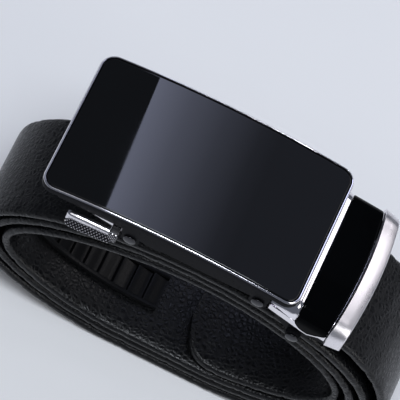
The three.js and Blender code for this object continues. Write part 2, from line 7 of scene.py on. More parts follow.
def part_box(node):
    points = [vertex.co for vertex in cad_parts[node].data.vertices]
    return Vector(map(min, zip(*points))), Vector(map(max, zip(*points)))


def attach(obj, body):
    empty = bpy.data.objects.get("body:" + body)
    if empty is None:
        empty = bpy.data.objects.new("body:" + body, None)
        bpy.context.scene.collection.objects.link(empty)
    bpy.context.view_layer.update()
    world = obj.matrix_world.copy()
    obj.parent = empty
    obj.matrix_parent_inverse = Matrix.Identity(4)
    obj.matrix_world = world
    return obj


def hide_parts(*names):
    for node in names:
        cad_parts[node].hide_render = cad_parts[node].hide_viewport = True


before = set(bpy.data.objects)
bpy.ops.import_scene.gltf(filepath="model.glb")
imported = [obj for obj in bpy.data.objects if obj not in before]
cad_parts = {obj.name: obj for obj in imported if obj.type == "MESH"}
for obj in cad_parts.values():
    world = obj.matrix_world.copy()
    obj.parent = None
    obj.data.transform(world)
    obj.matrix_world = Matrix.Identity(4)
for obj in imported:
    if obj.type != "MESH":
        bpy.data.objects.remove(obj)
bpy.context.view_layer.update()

# Lengths below are millimetres, apart from those of the camera, lights and floor: x along the face
# to the clamp end, y across the strap, both from the face's middle, and z up from a level FACE_RISE
# under its crown. place() makes them the frame's metres.
MM = 0.001
FACE_RISE = 2.65
FACE_ARCH_RADIUS = 228
face_low, face_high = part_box("face_frame")
face_middle = [(face_low[axis] + face_high[axis]) / 2 for axis in (0, 1)]
ORIGIN = Vector((*face_middle, face_high.z - FACE_RISE * MM))
FLOOR_Z = -ORIGIN.z / MM


def place(x, y, z):
    return ORIGIN + Vector((x, y, z)) * MM


def middle_of(node, axis):
    low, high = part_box(node)
    return ((low[axis] + high[axis]) / 2 - ORIGIN[axis]) / MM


def width_of(node, axis):
    low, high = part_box(node)
    return (high[axis] - low[axis]) / MM


# Strap and coil. A travel is an angle in degrees gone round the coil.
TURN = 360
STRAP_WIDTH = 35
STRAP_THICKNESS = 3.2
TAIL_TIP_LENGTH = 17
TAIL_TIP_POWER = 2.6
COIL_HALF_LENGTH = 62.5
COIL_HALF_HEIGHT = 36
COIL_FLATTENING = 1.2
COIL_AHEAD_OF_FACE = 9.55
TURN_GAP = 1.25
TURN_GAP_UNDER_BUCKLE = 0.35
UNDER_BUCKLE_TRAVEL = -85
UNDER_BUCKLE_REACH = 32
TAIL_END_TURNS = 3.235
TRAVEL_STEP = 1.2
LEAD_STRAIGHT_STEPS = 6
LEAD_CURVE_STEPS = 24

# The strap's slow drifts to one side and the other: how far, over what length, and from which
# phase. They grow from the clamp's mouth on, over DRIFT_FADE.
DRIFTS = [(0.28, 61, 0), (0.2, 23, 1.3)]
DRIFT_FADE = 60

# Leather relief: creases by the edges and by the clamp's mouth, the padding's fall to its edges,
# and slow swells
CREASE_DEPTH = 0.34
EDGE_CREASE_REACH = 7
EDGE_CREASE_SPACING = 2.6
EDGE_CREASE_LENGTH = 16
MOUTH_CREASE_SHARE = 0.9
MOUTH_CREASE_SPACING = 3.4
MOUTH_CREASE_LENGTH = 22
MOUTH_CREASE_FADE = (12, 40)
CREASE_WANDER = 2.2
CREASE_WANDER_SPACING = (6, 5)
INNER_CREASE_SHARE = 0.5
EDGE_FALL = 0.8
EDGE_FALL_REACH = 3.6
SWELL = 0.1
SWELL_SPACING = 9

# Ratchet track
TRACK_WIDTH = 12
TRACK_RAIL_WIDTH = 1.4
TRACK_BASE = 0.7
TOOTH_HEIGHT = 0.9
TOOTH_PITCH = 5.2
TOOTH_UNDER_RAIL = 0.85
TOOTH_PROFILE = [(0.0, 0.04), (0.1, 0.0), (0.3, 0.3), (0.55, 0.62), (0.84, 1.0), (0.9, 0.94)]
TRACK_START_TURNS = 2.262
TRACK_TO_TIP = 42
TRACK_STEPS = 640

# Face
FACE_LENGTH = width_of("face_frame", 0)
FACE_WIDTH = width_of("face_frame", 1)
FACE_CORNER = 4.2
FACE_THICKNESS = 3
FACE_BEVEL = 0.4
RIM_WIDTH = 0.6
GLASS_THICKNESS = 1.4
GLASS_SUNK = 0.12

# Pins and lever
PIN_RADIUS = 1.25
PIN_HEAD_RADIUS = 1.9
PIN_HEAD_HEIGHT = 0.6
PIN_HEAD_EDGE = 0.08
PIN_DOME_BASE = 0.15
PIN_DEPTH = 13.1
LEVER_PIN_X = middle_of("lever_pin", 0)
WALL_OUTER = 19.9
WALL_INNER = 18.2
CHANNEL_FLOOR = -9.6
PAWL_REACH = 16.5
PAWL_THICKNESS = 2.6
BARREL_RADIUS = 2.6
TAB_LENGTH = 13.8
TAB_REACH = 18.5
TAB_WIDTH = 3.1
TAB_HEIGHT = 4.6
TAB_DROP = 2.4
TAB_UNDER_FLOOR = 1.1
TAB_STEPS = 150
ARM_LENGTH = 2.7
ARM_INTO_TAB = 1.2
KNURL_PITCH = 0.96
KNURL_ROW = 0.6
KNURL_DEPTH = 0.32

# The thumb tab's drop, height and fullness as shares along it, then its section from the wall
# side over the top, whose stretch between the two KNURLED_POINTS is the knurled face
TAB_DROPS = [(0, 0.55), (0.06, 0.36), (0.2, 0.24), (0.5, 0.14), (1, 0)]
TAB_HEIGHTS = [(0, 0.5), (0.03, 0.8), (0.08, 0.94), (0.3, 0.97), (0.6, 0.9), (1, 0.78)]
TAB_FULLNESS = [(0, 0.6), (0.03, 0.84), (0.08, 0.95), (0.15, 1), (1, 1)]
TAB_SECTION = [(0, 0), (0.12, 0), (0.24, -0.01), (0.35, -0.04), (0.44, -0.09), (0.5, -0.16),
               (0.55, -0.24), (1, -0.82), (1, -0.92), (0.93, -0.98), (0.8, -1), (0, -1)]
KNURLED_POINTS = (6, 7)
KNURL_START, KNURL_END = (point / (len(TAB_SECTION) - 1) for point in KNURLED_POINTS)

# Clamp end
CLAMP_LENGTH = 16.1
COVER_UNDER_FACE = 6.75
COVER_DROP = 0.75
COVER_SLOPE = 3
COVER_WALL = 1
COVER_CROWN = 1.2
COVER_SHOULDER = 5
COVER_HEIGHT = 9.8
COVER_SLOPE_POWER = 1.4
SHOULDER_STEPS = 10
CROWN_STEPS = 12
LIP_LENGTH = 1.3
BAND_LENGTH = 4.8
BAND_PROUD = 0.5
BAND_TILT = 0.8
LIP_TILT = 0.3
MOUTH_BULGE = 1.6
PANEL_THICKNESS = 0.9
PANEL_REVEAL = 0.5
PANEL_CORNER = 3.2
PANEL_CORNER_SHARE = 0.97
STRAP_END_INSERT = 13.35
STRAP_END_DEPTH = 14.2
STRAP_END_SLOPE = 30
GAP = 0.3

# Camera: over the strap's near side, rolled so that the face runs down to the right. The place
# AIM_X along the face shows at AIM_PIXEL.
CAMERA_DISTANCE = 0.94
CAMERA_ELEVATION = 62.7
CAMERA_ROLL = 26.1
IMAGE_SIDE = 400
PIXELS_PER_MM = 3.66
AIM_X = -0.45
AIM_PIXEL = (199.6, 177.1)
SENSOR = 36

# The face's reflection: the softbox's far and near corners and its dark end as (x, y) on the
# face, its brightness, and the share of it left along its width; then its place and height in
# metres, and its colour
SOFTBOX_ON_FACE = [(-22.3, 22), (-19.5, -22), (39, -22)]
FACE_SHINE = 3.65
FACE_FADE = [(0, 1), (0.17, 0.55), (0.34, 0.27), (0.51, 0.09), (0.6, 0.055)]
FACE_SOFTBOX_DISTANCE = 1.0
FACE_SOFTBOX_HEIGHT = 0.55
FACE_SOFTBOX_COLOUR = (0.68, 0.73, 1.0)

# The room, in metres
WORLD_COLOUR = (0.11, 0.12, 0.145, 1)
FLOOR_SIDE = 8.0


# Edges that turn by more than this, in degrees, are shaded as sharp unless a piece says otherwise
SHARP_ANGLE = 34


# Small tools
def clamp01(x):
    return min(1.0, max(0.0, x))


def smoothstep(x, a, b):
    t = clamp01((x - a) / (b - a))
    return t * t * (3 - 2 * t)


def mix(a, b, t):
    return a + (b - a) * t


def spaced(start, end, steps):
    return [mix(start, end, i / steps) for i in range(steps + 1)]


def lookup(table, along):
    """Reads a table of (along, value) rows with straight lines between them."""
    for (a, low), (b, high) in zip(table, table[1:]):
        if along <= b:
            return mix(low, high, clamp01((along - a) / (b - a)))
    return table[-1][1]


def make_object(name, points, faces, material, sharp=SHARP_ANGLE):
    mesh = bpy.data.meshes.new(name)
    mesh.from_pydata([tuple(p) for p in points], [], faces)
    mesh.validate()
    mesh.polygons.foreach_set("use_smooth", [True] * len(mesh.polygons))
    mesh.set_sharp_from_angle(angle=math.radians(sharp))
    mesh.materials.append(material)
    made = bpy.data.objects.new(name, mesh)
    bpy.context.scene.collection.objects.link(made)
    return made


def skin(name, rings, material, sharp=SHARP_ANGLE, ladder=False):
    """A closed surface through rings of equally many points, its ends closed by one flat face
    each or, where a ring is two matching halves, by a ladder of strips between them."""
    count = len(rings[0])
    points = [p for ring in rings for p in ring]
    last = (len(rings) - 1) * count
    faces = []
    for here in range(0, last, count):
        there = here + count
        for i in range(count):
            j = (i + 1) % count
            faces.append((here + i, here + j, there + j, there + i))
    if ladder:
        for i in range(count // 2 - 1):
            strip = (i, i + 1, count - 2 - i, count - 1 - i)
            faces.append(tuple(reversed(strip)))
            faces.append(tuple(last + corner for corner in strip))
    else:
        faces.append(tuple(reversed(range(count))))
        faces.append(tuple(range(last, last + count)))
    made = make_object(name, points, faces, material, sharp)
    face_outwards(made)
    return made


def face_outwards(made):
    mesh = made.data
    volume = 0.0
    mesh.calc_loop_triangles()
    for triangle in mesh.loop_triangles:
        a, b, c = (mesh.vertices[i].co for i in triangle.vertices)
        volume += a.dot(b.cross(c))
    if volume < 0:
        mesh.flip_normals()


def dress(piece, body, slot, *nodes):
    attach(piece, body)
    if nodes:
        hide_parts(*nodes)
    return piece


# Materials
def new_material(name):
    material = bpy.data.materials.new(name)
    material.use_nodes = True
    tree = material.node_tree
    return material, tree, tree.nodes["Principled BSDF"]


def node(tree, kind, inputs=None, **settings):
    made = tree.nodes.new(kind)
    for key, value in settings.items():
        setattr(made, key, value)
    for key, value in (inputs or {}).items():
        if isinstance(value, bpy.types.NodeSocket):
            tree.links.new(value, made.inputs[key])
        else:
            made.inputs[key].default_value = value
    return made


def noise_of(tree, vector, scale, detail=3, roughness=0.5):
    made = node(tree, "ShaderNodeTexNoise", {"Vector": vector, "Scale": scale, "Detail": detail,
                                              "Roughness": roughness})
    return made.outputs["Fac"]


def ranged(tree, value, low, high, to_low=0.0, to_high=1.0):
    made = node(tree, "ShaderNodeMapRange", {"Value": value, "From Min": low, "From Max": high,
                                              "To Min": to_low, "To Max": to_high})
    return made.outputs["Result"]


def math_of(tree, operation, a, b):
    return node(tree, "ShaderNodeMath", {0: a, 1: b}, operation=operation).outputs[0]


def mixed_colour(tree, factor, low, high):
    made = node(tree, "ShaderNodeMix", {"Factor": factor}, data_type="RGBA")
    made.inputs["A"].default_value = (*low, 1)
    made.inputs["B"].default_value = (*high, 1)
    return [out for out in made.outputs if out.type == "RGBA"][0]


def object_coordinates(tree):
    return node(tree, "ShaderNodeTexCoord").outputs["Object"]


def stretched(tree, vector, scale):
    return node(tree, "ShaderNodeMapping", {"Vector": vector, "Scale": scale}).outputs["Vector"]


def bump(tree, height, distance, strength=1.0, normal=None):
    made = node(tree, "ShaderNodeBump", {"Height": height, "Distance": distance, "Strength": strength})
    if normal is not None:
        tree.links.new(normal, made.inputs["Normal"])
    return made.outputs["Normal"]


def leather_material():
    """Black pebbled leather: rounded grains between fine creases, with streaks across the strap."""
    material, tree, shader = new_material("leather_pebbled")
    where = object_coordinates(tree)
    wander = node(tree, "ShaderNodeTexNoise", {"Vector": where, "Scale": 420, "Detail": 2})
    wander_share = 0.0011
    shifted = node(tree, "ShaderNodeMix", {"Factor": wander_share}, data_type="VECTOR")
    tree.links.new(where, shifted.inputs["A"])
    tree.links.new(wander.outputs["Color"], shifted.inputs["B"])
    bent = [out for out in shifted.outputs if out.type == "VECTOR"][0]
    grains = node(tree, "ShaderNodeTexVoronoi", {"Vector": bent, "Scale": 640},
                  feature="DISTANCE_TO_EDGE")
    pebble = ranged(tree, grains.outputs["Distance"], low=0.0, high=0.34)
    roundness = 0.6
    rounded = math_of(tree, "POWER", pebble, roundness)
    fine = noise_of(tree, where, scale=5200, detail=2)
    strap_map = node(tree, "ShaderNodeUVMap", uv_map="strap").outputs["UV"]
    streaked = stretched(tree, strap_map, scale=(900, 170, 1))
    streaks = noise_of(tree, streaked, scale=1, detail=4, roughness=0.6)
    ridged = math_of(tree, "ABSOLUTE", math_of(tree, "SUBTRACT", streaks, 0.5), 0)
    crease = ranged(tree, ridged, low=0.0, high=0.09)
    normal = bump(tree, rounded, distance=0.08 * MM)
    normal = bump(tree, crease, distance=0.04 * MM, strength=0.6, normal=normal)
    normal = bump(tree, fine, distance=0.01 * MM, strength=0.5, normal=normal)
    cloudy = noise_of(tree, where, scale=60, detail=3)
    shade = mixed_colour(tree, cloudy, low=(0.0016, 0.0017, 0.0021), high=(0.0038, 0.004, 0.0048))
    tree.links.new(shade, shader.inputs["Base Color"])
    gloss = ranged(tree, rounded, low=0, high=1, to_low=0.4, to_high=0.24)
    tree.links.new(gloss, shader.inputs["Roughness"])
    tree.links.new(normal, shader.inputs["Normal"])
    shader.inputs["Specular IOR Level"].default_value = 0.28
    return material


def plastic_material():
    """Satin moulded plastic of the ratchet track."""
    material, tree, shader = new_material("track_moulded")
    where = object_coordinates(tree)
    grain = noise_of(tree, where, scale=2600, detail=3)
    cloudy = noise_of(tree, where, scale=90)
    shade = mixed_colour(tree, cloudy, low=(0.0025, 0.0026, 0.003), high=(0.005, 0.0052, 0.006))
    tree.links.new(shade, shader.inputs["Base Color"])
    gloss = ranged(tree, grain, low=0.3, high=0.7, to_low=0.28, to_high=0.42)
    tree.links.new(gloss, shader.inputs["Roughness"])
    tree.links.new(bump(tree, grain, distance=0.03 * MM, strength=0.5), shader.inputs["Normal"])
    shader.inputs["Specular IOR Level"].default_value = 0.15
    return material


def metal_material(name, colour, dull, rough, grain, grain_stretch=(1, 1, 1), depth=0.002 * MM,
                   metallic=1, specular=0.5):
    """Plated metal: slight wear in its gloss, and a grain that may run one way."""
    material, tree, shader = new_material(name)
    where = object_coordinates(tree)
    wear = noise_of(tree, where, scale=130, detail=4, roughness=0.6)
    lines = noise_of(tree, stretched(tree, where, grain_stretch), scale=grain, detail=3, roughness=0.6)
    tree.links.new(mixed_colour(tree, wear, dull, colour), shader.inputs["Base Color"])
    uneven = math_of(tree, "MULTIPLY", math_of(tree, "ADD", wear, lines), 0.5)
    gloss = ranged(tree, uneven, low=0.35, high=0.65, to_low=rough[0], to_high=rough[1])
    tree.links.new(gloss, shader.inputs["Roughness"])
    tree.links.new(bump(tree, lines, depth), shader.inputs["Normal"])
    shader.inputs["Metallic"].default_value = metallic
    shader.inputs["Specular IOR Level"].default_value = specular
    return material


def knurled_material():
    """Satin chrome knurled on the tab's near face, with painted shade darkening its grooves."""
    material, tree, shader = new_material("chrome_knurled")
    parts = node(tree, "ShaderNodeSeparateXYZ", {0: object_coordinates(tree)}).outputs
    along = math_of(tree, "SUBTRACT", parts["X"], ORIGIN.x)
    above = math_of(tree, "SUBTRACT", parts["Z"], ORIGIN.z)
    columns = math_of(tree, "MULTIPLY", along, 1 / KNURL_PITCH / MM)
    rows = math_of(tree, "MULTIPLY", above, 0.5 / KNURL_ROW / MM)
    slants = [math_of(tree, sign, columns, rows) for sign in ("ADD", "SUBTRACT")]
    waves = [math_of(tree, "PINGPONG", slant, 0.5) for slant in slants]
    point = ranged(tree, math_of(tree, "MINIMUM", *waves), low=0.2, high=0.42)
    knurl_from = 0.56 * TAB_WIDTH
    fade_over = 0.15 * MM
    near_face = ORIGIN.y - (WALL_OUTER + 2 * GAP + knurl_from) * MM
    plain = ranged(tree, parts["Y"], low=near_face - fade_over, high=near_face)
    bright = math_of(tree, "MAXIMUM", point, plain)
    # Near-black in the knurl's grooves is painted shade; the diamond points and the plain upper face keep
    # the chrome's colour.
    shade = mixed_colour(tree, bright, low=(0.012, 0.012, 0.015), high=(0.78, 0.76, 0.79))
    tree.links.new(shade, shader.inputs["Base Color"])
    gloss = ranged(tree, bright, low=0, high=1, to_low=0.5, to_high=0.2)
    tree.links.new(gloss, shader.inputs["Roughness"])
    shader.inputs["Metallic"].default_value = 1
    return material


def gloss_material(name, specular, rough):
    """Black glossy inlay with a faint haze in its polish."""
    material, tree, shader = new_material(name)
    where = object_coordinates(tree)
    haze = noise_of(tree, where, scale=45, detail=4, roughness=0.55)
    shade = mixed_colour(tree, haze, low=(0.0007, 0.0008, 0.001), high=(0.0015, 0.0017, 0.0021))
    tree.links.new(shade, shader.inputs["Base Color"])
    gloss = ranged(tree, haze, low=0.3, high=0.7, to_low=rough[0], to_high=rough[1])
    tree.links.new(gloss, shader.inputs["Roughness"])
    shader.inputs["Specular IOR Level"].default_value = specular
    return material


def floor_material():
    """Plain pale paper."""
    material, tree, shader = new_material("floor_paper")
    where = object_coordinates(tree)
    cloudy = noise_of(tree, where, scale=9, detail=3)
    shade = mixed_colour(tree, cloudy, low=(0.74, 0.74, 0.75), high=(0.78, 0.78, 0.79))
    tree.links.new(shade, shader.inputs["Base Color"])
    shader.inputs["Roughness"].default_value = 0.9
    shader.inputs["Specular IOR Level"].default_value = 0.2
    return material


LEATHER = leather_material()
TRACK_PLASTIC = plastic_material()
CHROME = metal_material("chrome_bright", colour=(0.86, 0.84, 0.87), dull=(0.78, 0.76, 0.8),
                        rough=(0.05, 0.13), grain=900)
SATIN = metal_material("chrome_satin", colour=(0.80, 0.775, 0.80), dull=(0.77, 0.745, 0.77),
                       rough=(0.26, 0.33), grain=1500, grain_stretch=(1, 0.06, 1))
KNURLED = knurled_material()
# The rivets' near-black metal colour is painted dark reflection, with a slight random tone.
RIVET_DARK_REFLECTION = metal_material("rivet_painted_dark_reflection", colour=(0.08, 0.08, 0.085), dull=(0.03, 0.03, 0.033),
                        rough=(0.14, 0.26), grain=1200)
# Dark finish of the castings; on the face tray's walls the same colour is painted dark reflection.
DARK_CASTING_AND_REFLECTION = metal_material("casting_dark_and_painted_reflection", colour=(0.012, 0.012, 0.014), dull=(0.005, 0.005, 0.006),
                            rough=(0.25, 0.42), grain=2400, depth=0.01 * MM, metallic=0, specular=0.02)
FACE_GLOSS = gloss_material("face_black_gloss", specular=0.5, rough=(0.015, 0.035))
PANEL_GLOSS = gloss_material("panel_black_gloss", specular=0.02, rough=(0.05, 0.1))


# The strap's line. Travel is gone round the oval clockwise from its right end.
coil_middle = (COIL_AHEAD_OF_FACE, FLOOR_Z - COIL_FLATTENING + COIL_HALF_HEIGHT)


def oval_point(travel):
    """The oval that the coil's outside follows, its bottom flattened where it lies."""
    angle = -math.radians(travel)
    softness = 0.3
    past_softening = 30
    rise = COIL_HALF_HEIGHT * math.sin(angle)
    excess = (COIL_FLATTENING - COIL_HALF_HEIGHT - rise) / softness
    lifted = rise + softness * (math.log1p(math.exp(excess)) if excess < past_softening else excess)
    return Vector((COIL_HALF_LENGTH * math.cos(angle) + coil_middle[0], lifted + coil_middle[1]))


def outward_of(point_at, travel):
    step = 0.2
    along = (point_at(travel + step) - point_at(travel - step)).normalized()
    return Vector((-along.y, along.x))


def pitch_at(travel):
    """From one turn to the next: narrower under the buckle, which presses them together."""
    from_buckle = (travel - UNDER_BUCKLE_TRAVEL + TURN / 2) % TURN - TURN / 2
    pressed = math.exp(-((from_buckle / UNDER_BUCKLE_REACH) ** 2))
    return STRAP_THICKNESS + mix(TURN_GAP, TURN_GAP_UNDER_BUCKLE, pressed)


def turn_at(travel):
    """How many pitches in: each turn steps inwards over its first quarter."""
    turn = math.floor(travel / TURN)
    return turn - 1 + smoothstep(travel - TURN * turn, 0, TURN / 4)


def coil_point(travel):
    inwards = turn_at(travel) * pitch_at(travel) + STRAP_THICKNESS / 2
    return oval_point(travel) - outward_of(oval_point, travel) * inwards


CLAMP_END = FACE_LENGTH / 2 + CLAMP_LENGTH
slope = -math.radians(STRAP_END_SLOPE)
strap_end_along = Vector((math.cos(slope), math.sin(slope)))
strap_end = Vector((CLAMP_END - STRAP_END_INSERT, -STRAP_END_DEPTH))
strap_mouth = strap_end + strap_end_along * STRAP_END_INSERT


def lead_points():
    """From inside the clamp end to the start of the coil: straight, then one Bezier curve."""
    mouth_handle, coil_handle = 0.36, 0.42
    join = coil_point(0)
    out = outward_of(coil_point, 0)
    down = Vector((out.y, -out.x))
    reach = (join - strap_mouth).length
    controls = [strap_mouth, strap_mouth + strap_end_along * mouth_handle * reach,
                join - down * coil_handle * reach, join]
    straight = [strap_end.lerp(strap_mouth, i / LEAD_STRAIGHT_STEPS) for i in range(LEAD_STRAIGHT_STEPS)]
    curve = []
    for i in range(LEAD_CURVE_STEPS):
        t = i / LEAD_CURVE_STEPS
        weights = ((1 - t) ** 3, 3 * t * (1 - t) ** 2, 3 * t * t * (1 - t), t ** 3)
        curve.append(sum((c * w for c, w in zip(controls, weights)), Vector((0, 0))))
    return straight + curve


class Line:
    """A run of points with the length gone at each, and the direction out of the coil."""

    def __init__(self, points):
        self.points = points
        self.lengths = [0.0]
        for a, b in zip(points, points[1:]):
            self.lengths.append(self.lengths[-1] + (b - a).length)

    def out(self, i):
        before = self.points[max(0, i - 1)]
        after = self.points[min(len(self.points) - 1, i + 1)]
        along = (after - before).normalized()
        return Vector((-along.y, along.x))


TAIL_END = TAIL_END_TURNS * TURN
coil_travels = spaced(0, TAIL_END, round(TAIL_END / TRAVEL_STEP))
strap_line = Line(lead_points() + [coil_point(travel) for travel in coil_travels])


def section_angles():
    """Section points as (share of the flat's half width, angle on the rounded edge) pairs."""
    half_steps, edge_steps = 8, 9
    shares = [math.sin(math.pi / 2 * i / half_steps) for i in range(-half_steps, half_steps + 1)]
    turned = [180 * i / edge_steps for i in range(edge_steps + 1)]
    top = [(share, 90) for share in shares[1:-1]]
    right = [(1, 90 - angle) for angle in turned]
    bottom = [(share, -90) for share in reversed(shares[1:-1])]
    left = [(-1, -90 - angle) for angle in turned]
    return top + right + bottom + left


SECTION = section_angles()


def ridge(x, y, z):
    """Narrow creases between broad flats: 0 on a flat, up to 1 in a crease."""
    sharpness = 5
    return max(0.0, 1 - abs(noise.noise(Vector((x, y, z)))) * sharpness) ** 2


def crease_at(length, y, angle, to_mouth):
    """How far the leather sinks (mm). The noises differ by the third number of their places."""
    side = 1 if y > 0 else -1
    from_edge = STRAP_WIDTH / 2 - abs(y)
    near_edge = smoothstep(EDGE_CREASE_REACH - from_edge, 0, EDGE_CREASE_REACH)
    near_mouth = 1 - smoothstep(to_mouth, *MOUTH_CREASE_FADE)
    inner_side_below = -0.3
    outer_side = math.sin(math.radians(angle)) > inner_side_below
    wander_along, wander_across = CREASE_WANDER_SPACING
    wander = CREASE_WANDER * noise.noise(Vector((length / wander_along, y / wander_across, 3.1)))
    edge_crease = ridge((length + wander) / EDGE_CREASE_SPACING, y / EDGE_CREASE_LENGTH, 11.7 * side)
    mouth_crease = ridge((length + wander) / MOUTH_CREASE_SPACING, y / MOUTH_CREASE_LENGTH, 47.3)
    swell = noise.noise(Vector((length / SWELL_SPACING, y / SWELL_SPACING, 5.3)))
    depth = CREASE_DEPTH * edge_crease * near_edge * (1 if outer_side else INNER_CREASE_SHARE)
    depth += CREASE_DEPTH * MOUTH_CREASE_SHARE * mouth_crease * near_mouth
    depth += EDGE_FALL * clamp01(1 - from_edge / EDGE_FALL_REACH) ** 2
    return depth + SWELL * (0.5 + 0.5 * swell)


def drift_at(length, mouth_length):
    drift = sum(far * math.sin(length / over + phase) for far, over, phase in DRIFTS)
    return drift * smoothstep(length, mouth_length, mouth_length + DRIFT_FADE)


def make_strap():
    total = strap_line.lengths[-1]
    mouth_length = strap_line.lengths[LEAD_STRAIGHT_STEPS]
    edge = STRAP_THICKNESS / 2
    tip_cut = 0.992
    edge_sink_share = 0.8
    rings = []
    marks = []
    last = len(strap_line.points) - 1
    for i, middle in enumerate(strap_line.points):
        length = strap_line.lengths[i]
        part = clamp01((length - (total - TAIL_TIP_LENGTH)) / TAIL_TIP_LENGTH)
        wide = (1 - min(part, tip_cut) ** TAIL_TIP_POWER) ** (1 / TAIL_TIP_POWER)
        out = strap_line.out(i)
        drift = drift_at(length, mouth_length)
        round_edge = edge * min(1, wide * 2)
        flat = (STRAP_WIDTH / 2) * wide - round_edge
        ring = []
        for share, angle in SECTION:
            c, s = math.cos(math.radians(angle)), math.sin(math.radians(angle))
            y = share * flat if abs(share) < 1 else math.copysign(flat, share) + c * round_edge
            sink = crease_at(length, y, angle, length - mouth_length) if i < last else 0
            height = (edge - sink) * s
            y_sunk = y - c * sink * edge_sink_share
            at = middle + out * height
            ring.append(place(at.x, y_sunk + drift, max(at.y, FLOOR_Z)))
            marks.append((length, y))
        rings.append(ring)
    strap = skin("leather_strap", rings, LEATHER, sharp=70)
    layer = strap.data.uv_layers.new(name="strap")
    for loop in strap.data.loops:
        length, y = marks[loop.vertex_index]
        layer.data[loop.index].uv = (length * MM, y * MM)
    return dress(strap, "belt", "leather", "strap")


def make_track():
    start = TRACK_START_TURNS * TURN
    travels = spaced(start, TAIL_END, TRACK_STEPS)
    face = [coil_point(t) - outward_of(coil_point, t) * STRAP_THICKNESS / 2 for t in travels]
    line = Line(face)
    teeth = math.floor((line.lengths[-1] - TRACK_TO_TIP) / TOOTH_PITCH)
    rings = []
    cursor = 0
    for tooth in range(teeth):
        for along, rise in TOOTH_PROFILE:
            goal = (tooth + along) * TOOTH_PITCH
            while line.lengths[cursor + 1] < goal:
                cursor += 1
            a, b = line.lengths[cursor], line.lengths[cursor + 1]
            at = face[cursor].lerp(face[cursor + 1], (goal - a) / (b - a))
            rings.append(track_ring(at, line.out(cursor), rise))
    track = skin("tooth_track", rings, TRACK_PLASTIC, sharp=28)
    return dress(track, "belt", "track_plastic", "ratchet_track")


def track_ring(at, out, rise):
    """The track's section: a rail at each side, and between them the teeth at the given rise."""
    rail = TRACK_WIDTH / 2
    inner = rail - TRACK_RAIL_WIDTH
    full = TRACK_BASE + TOOTH_HEIGHT
    low = TRACK_BASE + rise * TOOTH_HEIGHT * TOOTH_UNDER_RAIL
    soft = 0.25
    half = [(rail, 0), (rail, full - soft), (rail - soft, full), (inner + soft, full),
            (inner, full - soft / 2), (inner, low)]
    corners = half + [(-y, h) for y, h in reversed(half)]
    ring = []
    for y, height in corners:
        p = at - out * (GAP + height)
        ring.append(place(p.x, y, p.y))
    return ring


# Face
def face_rise(x):
    return FACE_RISE - FACE_ARCH_RADIUS + math.sqrt(FACE_ARCH_RADIUS ** 2 - x ** 2)


def bowed_ring(inset, height, corner_steps=14, long_steps=44):
    """The face's outline at an inset and height: its far long side, then its near one."""
    corner = FACE_CORNER - inset
    x, y = FACE_LENGTH / 2 - FACE_CORNER, FACE_WIDTH / 2 - FACE_CORNER
    turns = spaced(0, math.pi / 2, corner_steps)
    side = [(-x - corner * math.cos(turn), y + corner * math.sin(turn)) for turn in turns]
    side += [(along, y + corner) for along in spaced(-x, x, long_steps)[1:-1]]
    side += [(x + corner * math.sin(turn), y + corner * math.cos(turn)) for turn in turns]
    whole = side + [(along, -across) for along, across in reversed(side)]
    return [place(along, across, face_rise(along) + height) for along, across in whole]


def make_face():
    """The tray and its inlay, each from a section of (inset, height) points. The tray's goes from
    its underside up its wall and bevel, over the rim and down to the inlay's seat."""
    floor = -GLASS_THICKNESS - GLASS_SUNK - GAP
    seam = 0.4
    tray_profile = [(FACE_BEVEL + seam, -FACE_THICKNESS), (FACE_BEVEL, -FACE_THICKNESS),
                    (FACE_BEVEL / 3, -FACE_THICKNESS + FACE_BEVEL / 3), (0, -FACE_THICKNESS + FACE_BEVEL),
                    (0, -FACE_BEVEL - 0.08), (0.04, -FACE_BEVEL + 0.02), (FACE_BEVEL - 0.05, -0.03),
                    (FACE_BEVEL + 0.02, 0), (RIM_WIDTH - 0.2, 0), (RIM_WIDTH - 0.02, -0.05),
                    (RIM_WIDTH, -0.09), (RIM_WIDTH, floor), (RIM_WIDTH + seam, floor)]
    rings = [bowed_ring(inset, z) for inset, z in tray_profile]
    tray = skin("face_tray", rings, CHROME, sharp=25, ladder=True)
    # The tray's walls below its bevel take the dark casting colour: painted dark reflection on chrome.
    tray.data.materials.append(DARK_CASTING_AND_REFLECTION)
    points_around = len(rings[0])
    dark_reflection_spans = [i for i, (_, z) in enumerate(tray_profile) if z < -FACE_BEVEL - 0.01]
    for face in tray.data.polygons:
        span = min(face.vertices) // points_around
        face.material_index = 1 if span in dark_reflection_spans else 0
    dress(tray, "belt", "chrome", "face_frame")

    edge = RIM_WIDTH + GAP
    soft = GAP
    edge_steps = 5
    turns = spaced(0, math.pi / 2, edge_steps)
    bottom = -GLASS_SUNK - GLASS_THICKNESS
    inlay_profile = [(edge + 0.1 + seam, bottom), (edge + 0.1, bottom), (edge, bottom + 0.1)]
    inlay_profile += [(edge + soft * (1 - math.cos(turn)), -GLASS_SUNK - soft * (1 - math.sin(turn)))
                      for turn in turns]
    inlay_profile += [(edge + soft + 0.1, -GLASS_SUNK), (edge + soft + seam, -GLASS_SUNK)]
    rings = [bowed_ring(inset, z) for inset, z in inlay_profile]
    inlay = skin("face_inlay", rings, FACE_GLOSS, sharp=60, ladder=True)
    dress(inlay, "belt", "black_glass", "face_glass")


